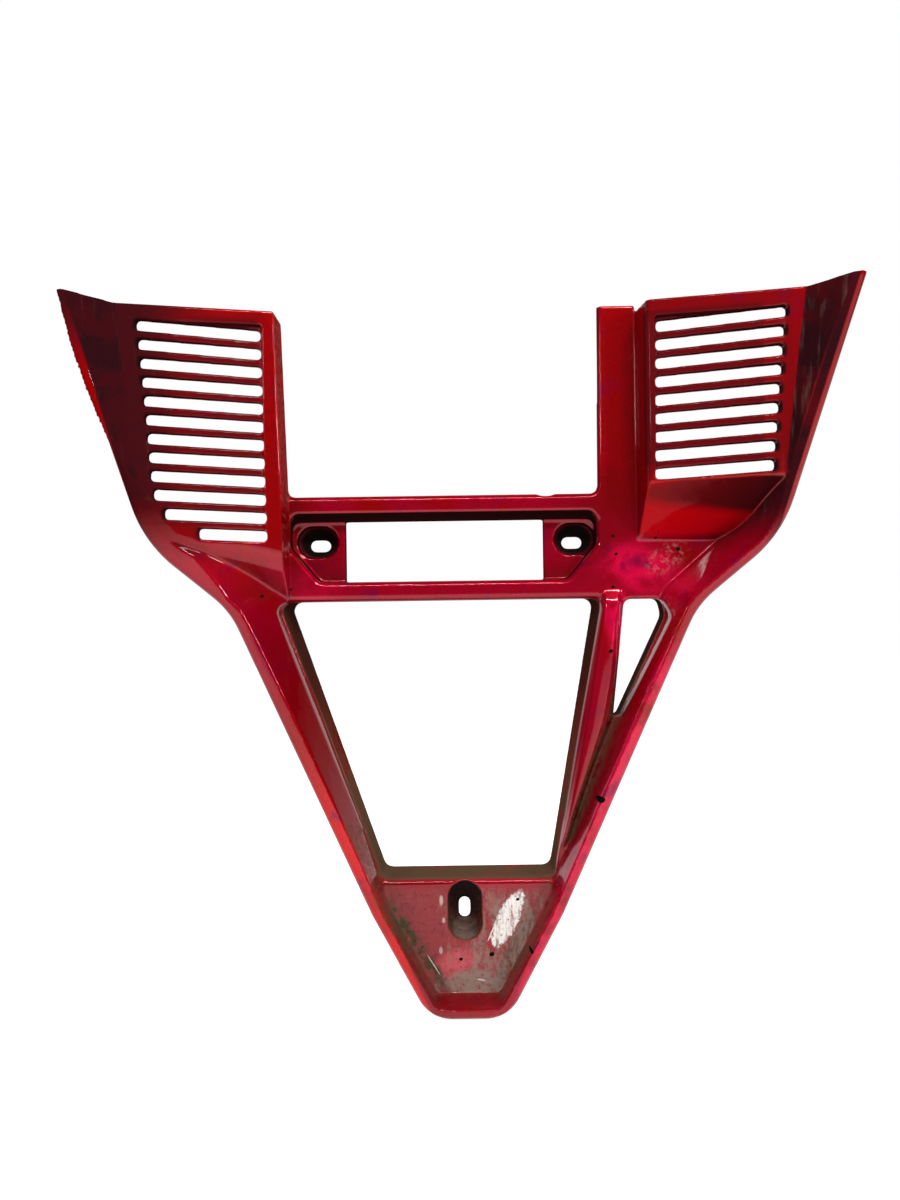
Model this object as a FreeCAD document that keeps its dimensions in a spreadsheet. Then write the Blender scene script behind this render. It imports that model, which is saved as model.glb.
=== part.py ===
import FreeCAD, Part
import os
import Sketcher

# Lower fairing V-piece: one moulded, painted panel. Millimetres, +X right, +Z up, the viewer at -Y.
# The origin lies midway between the two upper screw slots, on the seat the screws pull against.
# Distances called "ahead" are measured from that seat towards the viewer.

doc = FreeCAD.newDocument("v_panel")
sheet = doc.addObject("Spreadsheet::Sheet", "Sizes")
V = FreeCAD.Vector


class Size:
    """A length that knows its value and the sheet expression it comes from."""

    def __init__(self, text, number):
        self.text = text
        self.number = float(number)

    def __add__(self, other):
        other = as_size(other)
        return Size("(%s + %s)" % (self.text, other.text), self.number + other.number)

    def __sub__(self, other):
        other = as_size(other)
        return Size("(%s - %s)" % (self.text, other.text), self.number - other.number)

    def __mul__(self, other):
        other = as_size(other)
        return Size("(%s * %s)" % (self.text, other.text), self.number * other.number)

    def __truediv__(self, other):
        other = as_size(other)
        return Size("(%s / %s)" % (self.text, other.text), self.number / other.number)

    def __neg__(self):
        return Size("(0 - %s)" % self.text, -self.number)

    __radd__ = __add__
    __rmul__ = __mul__

    def __rsub__(self, other):
        return as_size(other) - self


def as_size(value):
    if isinstance(value, Size):
        return value
    return Size("(%s)" % repr(float(value)), value)


row_count = 0


def size(alias, number):
    """Put one named size in the sheet."""
    global row_count
    row_count += 1
    sheet.set("A%d" % row_count, alias)
    sheet.set("B%d" % row_count, str(number))
    sheet.setAlias("B%d" % row_count, alias)
    return Size("Sizes.%s" % alias, number)


def place(name, x, z):
    """A named point of the front view."""
    return (size(name + "_x", x), size(name + "_z", z))


# Sizes of the shell and its outline; half widths are from the outline's own centre line
wall = size("wall", 3.0)
base_ahead = size("base_ahead", 16.0)
centre_x = size("centre_x", 9.0)
right_top_z = size("right_top_z", 126.0)
left_top_z = size("left_top_z", 122.8)
strip_top_z = size("strip_top_z", 129.4)
over_z = size("over_z", 135.0)
reach = size("reach", 75.0)
rim_band = size("rim_band", 6.0)
rim_depth = size("rim_depth", 7.0)
rim_round = size("rim_round", 4.0)
tip_ahead = size("tip_ahead", 63.3)
bend_ahead = size("bend_ahead", 25.0)
bend_z = size("bend_z", -31.0)
foot_ahead = size("foot_ahead", 15.0)
shoulder_bend = size("shoulder_bend", 62.0)
hip_bend = size("hip_bend", 46.0)
foot_bend = size("foot_bend", 20.0)

tip_half = size("tip_half", 202.2)
shoulder_half = size("shoulder_half", 166.4)
shoulder_z = size("shoulder_z", 0.5)
shoulder_ahead = size("shoulder_ahead", 32.3)
hip_half = size("hip_half", 124.0)
hip_z = size("hip_z", -35.5)
hip_ahead = size("hip_ahead", 24.8)
knee_half = size("knee_half", 51.4)
knee_z = size("knee_z", -200.0)
knee_ahead = size("knee_ahead", 17.6)
foot_half = size("foot_half", 21.3)
foot_z = size("foot_z", -257.0)

# Where the inner wall meets the flat base, for the right side and for the softer left side
right_tip_base = size("right_tip_base", 143.0)
right_shoulder_base = size("right_shoulder_base", 150.0)
right_shoulder_base_z = size("right_shoulder_base_z", 8.0)
right_hip_base = size("right_hip_base", 110.0)
right_hip_base_z = size("right_hip_base_z", -27.0)
left_tip_base = size("left_tip_base", 143.0)
left_shoulder_base = size("left_shoulder_base", 100.0)
left_shoulder_base_z = size("left_shoulder_base_z", 6.0)
left_hip_base = size("left_hip_base", 96.5)
left_hip_base_z = size("left_hip_base_z", -26.0)
knee_base = size("knee_base", 43.5)
knee_base_z = size("knee_base_z", -198.5)
foot_base = size("foot_base", 17.5)
foot_base_z = size("foot_base_z", -247.5)


# Drawing helpers
def origin_plane(body, role):
    for feature in body.Origin.OriginFeatures:
        if feature.Role == role:
            return feature
    raise ValueError("no plane " + role)


def new_body(name):
    return doc.addObject("PartDesign::Body", name)


def bind(owner, prop, value):
    owner.setExpression(prop, as_size(value).text)


def outline(body, name, role, ahead, corners):
    """A closed outline on one of the body's own planes; a corner's third value is its radius."""
    sketch = body.newObject("Sketcher::SketchObject", name)
    sketch.AttachmentSupport = [(origin_plane(body, role), "")]
    sketch.MapMode = "FlatFace"
    ahead = as_size(ahead)
    sketch.AttachmentOffset = FreeCAD.Placement(V(0, 0, ahead.number), FreeCAD.Rotation())
    bind(sketch, "AttachmentOffset.Base.z", ahead)
    points = [V(as_size(c[0]).number, as_size(c[1]).number, 0) for c in corners]
    count = len(points)
    for i in range(count):
        sketch.addGeometry(Part.LineSegment(points[i], points[(i + 1) % count]), False)
    for i in range(count):
        sketch.addConstraint(Sketcher.Constraint("Coincident", i, 2, (i + 1) % count, 1))
    holders = [(i, 1) for i in range(count)]
    for i in range(count):
        if len(corners[i]) < 3:
            continue
        radius = as_size(corners[i][2])
        before = (i - 1) % count
        after = (i + 1) % count
        from_side = points[i] * 0.6 + points[before] * 0.4
        to_side = points[i] * 0.6 + points[after] * 0.4
        sketch.fillet(before, i, from_side, to_side, radius.number, True, True)
        arc = sketch.GeometryCount - 2
        holders[i] = (sketch.GeometryCount - 1, 1)
        index = sketch.addConstraint(Sketcher.Constraint("Radius", arc, radius.number))
        sketch.renameConstraint(index, "radius_%d" % i)
        bind(sketch, "Constraints.radius_%d" % i, radius)
    for i in range(count):
        geometry, place = holders[i]
        for kind, word, value in (("DistanceX", "across", corners[i][0]), ("DistanceY", "up", corners[i][1])):
            value = as_size(value)
            index = sketch.addConstraint(Sketcher.Constraint(kind, -1, 1, geometry, place, value.number))
            sketch.renameConstraint(index, "%s_%d" % (word, i))
            bind(sketch, "Constraints.%s_%d" % (word, i), value)
    return sketch


def pad(body, sketch, length):
    """Thicken an outline along its plane's normal."""
    feature = body.newObject("PartDesign::Pad", sketch.Name + "_pad")
    feature.Profile = sketch
    feature.Length = as_size(length).number
    bind(feature, "Length", length)
    return feature


def loft(body, first, others):
    """Join outlines with straight-sided walls."""
    feature = body.newObject("PartDesign::AdditiveLoft", first.Name + "_loft")
    feature.Profile = first
    feature.Sections = others
    feature.Ruled = True
    return feature


def through_all(body, sketch):
    """Cut an outline right through a body, both ways from its plane."""
    feature = body.newObject("PartDesign::Pocket", sketch.Name + "_cut")
    feature.Profile = sketch
    feature.Type = "ThroughAll"
    feature.Midplane = True
    return feature


def round_edges(body, radius, wanted):
    """Round the edges of a body's last feature that a test picks out."""
    doc.recompute()
    last = body.Tip
    names = []
    for number, edge in enumerate(last.Shape.Edges):
        if wanted(edge):
            names.append("Edge%d" % (number + 1))
    feature = body.newObject("PartDesign::Fillet", body.Name + "_round")
    feature.Base = (last, names)
    feature.Radius = as_size(radius).number
    bind(feature, "Radius", radius)
    return feature


def facing_block(name, near, far, corners):
    """A straight block between two distances ahead of the seat, seen from the front as the corners."""
    body = new_body(name)
    sketch = outline(body, name + "_outline", "XZ_Plane", near, corners)
    pad(body, sketch, as_size(far) - near)
    return body


def facing_loft(name, near, near_corners, far, far_corners):
    """A block whose front view changes evenly between two distances ahead of the seat."""
    body = new_body(name)
    first = outline(body, name + "_near", "XZ_Plane", near, near_corners)
    last = outline(body, name + "_far", "XZ_Plane", far, far_corners)
    loft(body, first, [last])
    return body


def upright_block(name, low, high, corners):
    """A straight block standing along Z, its corners given as x and y."""
    body = new_body(name)
    sketch = outline(body, name + "_outline", "XY_Plane", low, corners)
    pad(body, sketch, as_size(high) - low)
    return body


def sideways_block(name, left, right, corners):
    """A straight block lying along X, its corners given as y and z."""
    body = new_body(name)
    sketch = outline(body, name + "_outline", "YZ_Plane", left, corners)
    pad(body, sketch, as_size(right) - left)
    return body


def fuse(name, pieces):
    joined = doc.addObject("Part::MultiFuse", name)
    joined.Shapes = pieces
    joined.Refine = False
    return joined


def common(name, pieces):
    shared = doc.addObject("Part::MultiCommon", name)
    shared.Shapes = pieces
    return shared


def cut(name, base, tool):
    result = doc.addObject("Part::Cut", name)
    result.Base = base
    result.Tool = tool
    return result


# The outline's corners from the top down: rim half width, height and distance ahead of the base
# The last pair says how a corner moves when the whole outline grows by one millimetre
tip = (tip_half, over_z, tip_ahead, 1.04, 0.0)
shoulder = (shoulder_half, shoulder_z, shoulder_ahead, 0.88, -0.57)
hip = (hip_half, hip_z, hip_ahead, 0.83, -0.61)
knee = (knee_half, knee_z, knee_ahead, 0.92, -0.38)
foot = (foot_half, foot_z, foot_ahead, 0.67, -1.0)
rim_corners = (tip, shoulder, hip, knee, foot)
bends = (None, shoulder_bend, hip_bend, None, foot_bend)
right_base = ((right_tip_base, over_z), (right_shoulder_base, right_shoulder_base_z),
              (right_hip_base, right_hip_base_z), (knee_base, knee_base_z), (foot_base, foot_base_z))
left_base = ((left_tip_base, over_z), (left_shoulder_base, left_shoulder_base_z),
             (left_hip_base, left_hip_base_z), (knee_base, knee_base_z), (foot_base, foot_base_z))


def wall_side(side, base, depth, grow, bend_share):
    """One side of the inner wall at a distance ahead of the base, grown outwards by the given amount."""
    corners = []
    for corner, (base_half, base_height), bend in zip(rim_corners, base, bends):
        half, height, rim_ahead, out_x, out_z = corner
        inner_half = half - rim_band * out_x
        inner_height = height - rim_band * out_z
        share = as_size(depth) / rim_ahead
        x = base_half + (inner_half - base_half) * share + as_size(grow) * out_x
        z = base_height + (inner_height - base_height) * share + as_size(grow) * out_z
        x = centre_x + x * side
        corners.append((x, z) if bend is None else (x, z, bend * bend_share))
    return corners


def wall_outline(depth, grow, bend_share):
    """The inner wall's whole outline at one distance ahead of the base."""
    right = wall_side(1, right_base, depth, grow, bend_share)
    left = wall_side(-1, left_base, depth, grow, bend_share)
    return right + left[::-1]


def rim_outline(inset):
    """The silhouette of the rim seen from the front, drawn in by the inset."""
    inset = as_size(inset)
    right = []
    left = []
    for corner, bend in zip(rim_corners, bends):
        x = corner[0] - inset * corner[3]
        z = corner[1] - inset * corner[4]
        radius = () if bend is None else (bend,)
        right.append((centre_x + x, z) + radius)
        left.append((centre_x - x, z) + radius)
    return right + left[::-1]


# The tray: an outer wall, the hollow the viewer looks into and a rounded rim along their front edge
behind = size("behind", 5.0)
base_bend_share = size("base_bend_share", 0.2)
tray_outer = facing_loft("tray_outer", base_ahead - wall, wall_outline(-wall, wall * 1.2, base_bend_share),
                         base_ahead + reach, wall_outline(reach, wall * 1.2, 1.0))
tray_hollow = facing_loft("tray_hollow", base_ahead, wall_outline(0, 0, base_bend_share),
                          base_ahead + reach, wall_outline(reach, 0, 1.0))
inside_rim = facing_block("inside_rim", as_size(0), base_ahead + reach, rim_outline(rim_band))

# The rim seen from the side: it leans forward towards the wing tips with one soft bend at the hips
spare = size("spare", 40.0)
clear_y = size("clear_y", 200.0)
far_left = size("far_left", -260.0)
far_right = size("far_right", 260.0)
tiny = 0.01
rim_bend = size("rim_bend", 260.0)
high_z = over_z + spare
low_z = foot_z - spare
high_ahead = tip_ahead + spare * ((tip_ahead - bend_ahead) / (over_z - bend_z))
low_ahead = foot_ahead - spare * ((bend_ahead - foot_ahead) / (bend_z - foot_z))


def rim_line(setback):
    """The rim's side view as y and z, moved back from the viewer."""
    return [(setback - base_ahead - high_ahead, high_z),
            (setback - base_ahead - bend_ahead, bend_z, rim_bend),
            (setback - base_ahead - low_ahead, low_z)]


front_trim = size("front_trim", 0.3)
front_clear = sideways_block("front_clear", far_left, far_right,
                             rim_line(front_trim) + [(-clear_y, low_z), (-clear_y, high_z)])

rim = new_body("rim")
pad(rim, outline(rim, "rim_outline", "XZ_Plane", 0, rim_outline(0)), base_ahead + reach)
through_all(rim, outline(rim, "rim_front", "YZ_Plane", 0,
                         rim_line(as_size(0)) + [(-clear_y, low_z), (-clear_y, high_z)]))
through_all(rim, outline(rim, "rim_back", "YZ_Plane", 0,
                         rim_line(rim_depth) + [(clear_y, low_z), (clear_y, high_z)]))
doc.recompute()


def rim_ahead_at(z):
    """How far the straight parts of the rim stand ahead of the base at one height."""
    upper = bend_ahead.number + (z - bend_z.number) * (
        (tip_ahead.number - bend_ahead.number) / (over_z.number - bend_z.number))
    lower = bend_ahead.number + (z - bend_z.number) * (
        (bend_ahead.number - foot_ahead.number) / (bend_z.number - foot_z.number))
    return max(upper, lower)


def on_rim_front(edge):
    """The rim's front edges, without those on its level top and the seams that run straight back."""
    middle = edge.valueAt((edge.FirstParameter + edge.LastParameter) / 2.0)
    stands = -middle.y - base_ahead.number
    first = edge.Vertexes[0]
    last = edge.Vertexes[-1]
    runs_back = abs(first.X - last.X) < tiny and abs(first.Z - last.Z) < tiny
    near_front = stands > rim_ahead_at(middle.z) - rim_depth.number * 0.5
    below_top = min(v.Z for v in edge.Vertexes) < over_z.number - tiny
    return near_front and below_top and not runs_back


round_edges(rim, rim_round, on_rim_front)

# The two raised blocks that carry the louvres: front shapes, and the hollows behind them
raise_sink = size("raise_sink", 2.0)
block_reach = size("block_reach", 60.0)
side_x = size("side_x", 215.0)
panel_over = size("panel_over", 30.0)
panel_slope = size("panel_slope", 0.249)
left_inner_x = size("left_inner_x", -86.5)
left_foot_z = size("left_foot_z", -31.0)
left_rise = size("left_rise", 1.0)
left_panel_x = size("left_panel_x", -90.0)
left_panel_ahead = size("left_panel_ahead", 21.5)
right_inner_x = size("right_inner_x", 105.5)
right_draft = size("right_draft", 0.09)
right_foot_z = size("right_foot_z", 0.0)
right_rise = size("right_rise", 1.318)
right_rise_out = size("right_rise_out", 0.46)
right_panel_x = size("right_panel_x", 107.5)
right_panel_ahead = size("right_panel_ahead", 22.0)
left_soften = size("left_soften", 16.0)
right_soften = size("right_soften", 3.0)
gap_top_left_x = size("gap_top_left_x", -91.2)
left_lean = size("left_lean", 0.3)


def panel_y(side, x, inset):
    """The y of a louvre panel's face at one x, moved back by the inset."""
    if side < 0:
        ahead = left_panel_ahead + (left_panel_x - x) * panel_slope
    else:
        ahead = right_panel_ahead + (x - right_panel_x) * panel_slope
    return as_size(inset) - base_ahead - ahead


def left_block(name, back, inset, foot_inset, panel_inset):
    """The left block: sides inset from its front shape by the wall, hollow or solid alike."""
    top_inner_x = left_inner_x + (gap_top_left_x - left_inner_x) * left_lean

    def corners(depth):
        foot_height = left_foot_z + left_rise * depth + foot_inset
        return [(left_inner_x - inset, foot_height), (top_inner_x - inset, over_z),
                (-side_x, over_z), (-side_x, foot_height)]

    body = facing_loft(name, base_ahead - back, corners(-back),
                       base_ahead + block_reach, corners(block_reach))
    in_x = left_panel_x + panel_over
    out_x = -side_x - panel_over
    front = [(in_x, panel_y(-1, in_x, panel_inset)), (out_x, panel_y(-1, out_x, panel_inset)),
             (out_x, -clear_y), (in_x, -clear_y)]
    through_all(body, outline(body, name + "_panel", "XY_Plane", 0, front))
    return body


def right_block(name, back, inset, foot_inset, panel_inset):
    """The right block, its underside twisting so that its foot and its front edge both run level."""

    def corners(depth):
        depth = as_size(depth)
        inner = right_inner_x + right_draft * depth + inset
        inner_foot = right_foot_z + right_rise * depth + foot_inset
        outer_foot = right_foot_z + right_rise_out * depth + foot_inset
        return [(inner, inner_foot), (side_x, outer_foot), (side_x, over_z), (inner, over_z)]

    body = facing_loft(name, base_ahead - back, corners(-back),
                       base_ahead + block_reach, corners(block_reach))
    in_x = right_panel_x - panel_over
    out_x = side_x + panel_over
    front = [(in_x, panel_y(1, in_x, panel_inset)), (in_x, -clear_y),
             (out_x, -clear_y), (out_x, panel_y(1, out_x, panel_inset))]
    through_all(body, outline(body, name + "_panel", "XY_Plane", 0, front))
    return body


# A slanted wall measures more along Z or along Y than across itself
left_foot_wall = wall * 1.41
right_foot_wall = wall * 1.68
panel_wall = wall * 1.03
none = as_size(0)
left_front = left_block("left_front", raise_sink, none, none, none)
right_front = right_block("right_front", raise_sink, none, none, none)
left_back = left_block("left_back", behind, wall, left_foot_wall, panel_wall)
right_back = right_block("right_back", behind, wall, right_foot_wall, panel_wall)
doc.recompute()
long_edge = 60.0
well_ahead = base_ahead.number + 10.0


def edge_middle(edge):
    return edge.valueAt((edge.FirstParameter + edge.LastParameter) / 2.0)


def low_front_edge(edge):
    """The long edge where a block's face meets its underside."""
    middle = edge_middle(edge)
    across = abs(edge.Vertexes[0].X - edge.Vertexes[1].X)
    return across > long_edge and middle.z < long_edge and -middle.y > well_ahead


def box_front_edge(edge):
    """The right box's front edges: along the panel's foot and up its inner side."""
    middle = edge_middle(edge)
    up = abs(edge.Vertexes[0].Z - edge.Vertexes[1].Z)
    inner = up > long_edge and middle.x < right_panel_x.number + panel_over.number
    return low_front_edge(edge) or (inner and -middle.y > well_ahead)


round_edges(left_front, left_soften, low_front_edge)
round_edges(left_back, left_soften - wall, low_front_edge)
round_edges(right_front, right_soften, box_front_edge)

# Openings in the base have a slanted mouth, so that the bars between them look rounded
edge_round = size("edge_round", 2.0)
mouth_spare = size("mouth_spare", 1.0)


def mouth(name, corners):
    """A cutter that widens evenly towards the viewer; corners gives an outline for an amount of growth."""
    return facing_loft(name, base_ahead - edge_round - mouth_spare, corners(-mouth_spare),
                       base_ahead + mouth_spare, corners(edge_round + mouth_spare))


# The recess between the two crossbars, its tabs and the window between them
recess_depth = size("recess_depth", 10.0)
recess_left_x = size("recess_left_x", -86.0)
recess_right_x = size("recess_right_x", 83.0)
recess_top_z = size("recess_top_z", 17.4)
recess_back_top_z = size("recess_back_top_z", 12.8)
recess_low_z = size("recess_low_z", -20.8)
recess_cut_x = size("recess_cut_x", 16.0)
recess_cut_z = size("recess_cut_z", 19.0)
recess_bend = size("recess_bend", 5.0)
tab_left_x = size("tab_left_x", -56.3)
tab_right_x = size("tab_right_x", 54.6)
tab_lip = size("tab_lip", 4.0)


def recess_corners(top, grow):
    """The recess seen from the front, with its two cut-off lower corners."""
    grow = as_size(grow)
    return [(recess_left_x - grow, top + grow), (recess_left_x - grow, recess_low_z + recess_cut_z),
            (recess_left_x + recess_cut_x, recess_low_z - grow),
            (recess_right_x - recess_cut_x, recess_low_z - grow),
            (recess_right_x + grow, recess_low_z + recess_cut_z), (recess_right_x + grow, top + grow)]


def rounded(corners, bend):
    """The same corners, each with a radius."""
    return [(x, z, bend) for x, z in corners]


def recess_mouth_corners(grow):
    """The recess's lower edge, its cut-off corners and its right end, grown square to each of them."""
    left = recess_left_x + mouth_spare * 0.5
    low = recess_low_z - grow
    right = recess_right_x + grow
    bend = recess_bend + grow
    return [(left, recess_back_top_z), (left, recess_low_z + recess_cut_z - grow * 1.55),
            (recess_left_x + recess_cut_x - grow * 0.47, low, bend),
            (recess_right_x - recess_cut_x + grow * 0.47, low, bend),
            (right, recess_low_z + recess_cut_z - grow * 0.37, bend), (right, recess_back_top_z)]


tab_ahead = base_ahead - recess_depth
recess_front_z = recess_top_z + wall * 0.4
recess_shell = facing_loft("recess_shell", tab_ahead - wall, recess_corners(recess_back_top_z, wall),
                           base_ahead - wall * 0.5, recess_corners(recess_top_z, wall))
recess_hollow = facing_loft("recess_hollow",
                            tab_ahead, rounded(recess_corners(recess_back_top_z, 0), recess_bend),
                            base_ahead + wall, rounded(recess_corners(recess_front_z, 0), recess_bend))
recess_mouth = mouth("recess_mouth", recess_mouth_corners)
tab_window = facing_block("tab_window", -base_ahead, base_ahead,
                          [(tab_left_x, recess_low_z), (tab_right_x, recess_low_z),
                           (tab_right_x, recess_back_top_z), (tab_left_x, recess_back_top_z)])


def tab_lip_block(name, left, right):
    """A lip that turns back from a tab's edge beside the window."""
    low = recess_low_z - wall * 0.5
    high = recess_back_top_z + wall * 0.5
    return facing_block(name, tab_ahead - wall - tab_lip, tab_ahead - wall * 0.5,
                        [(left, low), (right, low), (right, high), (left, high)])


left_tab_lip = tab_lip_block("left_tab_lip", tab_left_x - wall, tab_left_x)
right_tab_lip = tab_lip_block("right_tab_lip", tab_right_x, tab_right_x + wall)

# Screw cups: an oval cup with a slot in its floor
slot_spacing = size("slot_spacing", 142.0)
slot_long = size("slot_long", 11.5)
slot_wide = size("slot_wide", 6.4)
cup_long = size("cup_long", 23.0)
cup_wide = size("cup_wide", 18.0)
cup_lift = size("cup_lift", 1.8)
cup_out = size("cup_out", 0.8)


def oval(name, near, far, x, z, width, height):
    """A block with round ends, seen from the front as a slot."""
    width = as_size(width)
    height = as_size(height)
    short = width if width.number < height.number else height
    bend = short * 0.499
    corners = [(x - width / 2, z - height / 2, bend), (x + width / 2, z - height / 2, bend),
               (x + width / 2, z + height / 2, bend), (x - width / 2, z + height / 2, bend)]
    return facing_block(name, near, far, corners)


cup_shells = []
cup_hollows = []
for side, word in ((-1, "left"), (1, "right")):
    slot_x = slot_spacing * (side * 0.5)
    cup_x = slot_x + cup_out * side
    cup_shells.append(oval(word + "_cup_shell", -wall, tab_ahead - wall * 0.5, cup_x, cup_lift,
                           cup_long + wall * 2, cup_wide + wall * 2))
    cup_hollows.append(oval(word + "_cup_hollow", none, base_ahead, cup_x, cup_lift, cup_long, cup_wide))
    cup_hollows.append(oval(word + "_slot", wall * -2, base_ahead, slot_x, none, slot_long, slot_wide))

# The V window and the flange that returns behind it
flange = size("flange", 23.0)
window_top_z = size("window_top_z", -31.7)
window_low_z = size("window_low_z", -183.0)
window_top_left_x = size("window_top_left_x", -89.0)
window_top_right_x = size("window_top_right_x", 83.0)
window_low_left_x = size("window_low_left_x", -36.4)
window_low_right_x = size("window_low_right_x", 56.4)
window_draft_top = size("window_draft_top", 4.0)
window_draft_low = size("window_draft_low", 0.8)
window_draft_z = size("window_draft_z", 2.0)
window_bend = size("window_bend", 5.0)


def window_corners(share, grow):
    """The V window at a share of the way from the flange's back edge to the base, grown all round."""
    grow = as_size(grow)
    share = as_size(share)
    top_out = window_draft_top * share + grow * 1.06
    low_out = window_draft_low * share + grow * 1.06
    low = window_low_z - window_draft_z * share - grow
    top = window_top_z + grow
    return [(window_top_left_x - top_out, top), (window_low_left_x - low_out, low),
            (window_low_right_x + low_out, low), (window_top_right_x + top_out * 0.7, top)]


def window_mouth_corners(grow):
    """The V window's left, lower and upper edges, grown; the rib stands along its right edge."""
    bend = window_bend + grow
    top_left, low_left, low_right, top_right = window_corners(1, grow)
    inner_low, inner_top = window_corners(1, -mouth_spare)[2:]
    return [top_left + (bend,), low_left + (bend,),
            (inner_low[0], low_right[1]), (inner_top[0], top_right[1])]


window_shell = facing_loft("window_shell", base_ahead - flange, window_corners(0, wall),
                           base_ahead - wall * 0.5, window_corners(1, wall))
window_hollow = facing_loft("window_hollow",
                            base_ahead - flange * 2, rounded(window_corners(-1, 0), window_bend),
                            base_ahead + flange, rounded(window_corners(2, 0), window_bend))
window_mouth = mouth("window_mouth", window_mouth_corners)

# The smaller window in the right leg, with a wall that returns behind it
leg_flange = size("leg_flange", 17.0)
leg_bend = size("leg_bend", 4.0)
leg_turn_bend = size("leg_turn_bend", 8.0)
leg_foot_bend = size("leg_foot_bend", 1.5)
leg_top_left = place("leg_top_left", 97.6, -32.3)
leg_foot_left = place("leg_foot_left", 90.6, -97.5)
leg_foot_right = place("leg_foot_right", 94.4, -96.0)
leg_turn = place("leg_turn", 120.4, -41.5)
leg_top_right = place("leg_top_right", 118.0, -32.3)
leg_window = facing_block("leg_window", -base_ahead, base_ahead + reach * 0.5,
                          [leg_top_left + (leg_bend,), leg_foot_left + (leg_foot_bend,),
                           leg_foot_right + (leg_foot_bend,), leg_turn + (leg_turn_bend,),
                           leg_top_right + (leg_bend,)])
leg_shell = facing_block("leg_shell", base_ahead - leg_flange, base_ahead - wall * 0.5,
                         [(leg_top_left[0] - wall, leg_top_left[1] + wall),
                          (leg_foot_left[0] - wall, leg_foot_left[1] - wall),
                          (leg_foot_right[0] + wall, leg_foot_right[1] - wall),
                          (leg_turn[0] + wall, leg_turn[1]),
                          (leg_top_right[0] + wall, leg_top_right[1] + wall)])

# A low rounded rib runs down between the two windows into the right leg
rib_high = size("rib_high", 5.0)
rib_swell = size("rib_swell", 0.7)
rib_foot = [place("rib_top_left", 85.4, -24.0), place("rib_middle_left", 73.0, -99.0),
            place("rib_low_left", 59.8, -172.0), place("rib_low_right", 63.0, -172.0),
            place("rib_leg_right", 79.0, -124.0), place("rib_middle_right", 91.5, -97.0),
            place("rib_upper_right", 95.8, -60.0), place("rib_top_right", 97.0, -24.0)]
rib_crest = [place("crest_top_left", 88.5, -42.0), place("crest_middle_left", 79.0, -100.0),
             place("crest_low_left", 64.5, -152.0), place("crest_low_right", 66.0, -152.0),
             place("crest_leg_right", 74.0, -130.0), place("crest_middle_right", 83.5, -100.0),
             place("crest_upper_right", 88.5, -75.0), place("crest_top_right", 91.5, -42.0)]
rib_waist = []
for (foot_x, foot_height), (crest_x, crest_height) in zip(rib_foot, rib_crest):
    rib_waist.append(((foot_x + crest_x) / 2, (foot_height + crest_height) / 2))
rib = new_body("rib")
rib_outlines = []
for word, ahead, corners in (("foot", base_ahead - wall * 0.5, rib_foot),
                             ("waist", base_ahead + rib_high * rib_swell, rib_waist),
                             ("crest", base_ahead + rib_high, rib_crest)):
    rib_outlines.append(outline(rib, "rib_" + word, "XZ_Plane", ahead, corners))
loft(rib, rib_outlines[0], rib_outlines[1:])

# The lower screw cup
low_cup_x = size("low_cup_x", 7.6)
low_cup_z = size("low_cup_z", -202.6)
low_cup_wide = size("low_cup_wide", 18.7)
low_cup_long = size("low_cup_long", 32.8)
low_cup_depth = size("low_cup_depth", 20.0)
low_slot_z = size("low_slot_z", -206.5)
low_seat = base_ahead - low_cup_depth
low_cup_shell = oval("low_cup_shell", low_seat - wall, base_ahead - wall * 0.5, low_cup_x, low_cup_z,
                     low_cup_wide + wall * 2, low_cup_long + wall * 2)
low_cup_hollow = oval("low_cup_hollow", low_seat, base_ahead + wall, low_cup_x, low_cup_z,
                      low_cup_wide, low_cup_long)
low_slot = oval("low_slot", low_seat - wall * 2, base_ahead, low_cup_x, low_slot_z, slot_wide, slot_long)

# The gap between the wings, and the trim along the top with the inner strip standing a little higher
gap_low_z = size("gap_low_z", 26.5)
gap_low_left_x = size("gap_low_left_x", -86.5)
gap_low_right_x = size("gap_low_right_x", 83.5)
gap_top_right_x = size("gap_top_right_x", 85.0)
gap_bend = size("gap_bend", 4.0)
gap = facing_block("gap", -clear_y, clear_y,
                   [(gap_low_left_x, gap_low_z, gap_bend), (gap_low_right_x, gap_low_z, gap_bend),
                    (gap_top_right_x, high_z), (gap_top_left_x, high_z)])


def gap_mouth_corners(grow):
    """The gap's lower and right edges, grown; the left block's wall bounds it on the left."""
    left_inset = mouth_spare * 0.5
    return [(gap_low_left_x + left_inset, gap_low_z - grow),
            (gap_low_right_x + grow, gap_low_z - grow, gap_bend + grow),
            (gap_top_right_x + grow, high_z), (gap_top_left_x + left_inset, high_z)]


gap_mouth = mouth("gap_mouth", gap_mouth_corners)

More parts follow.
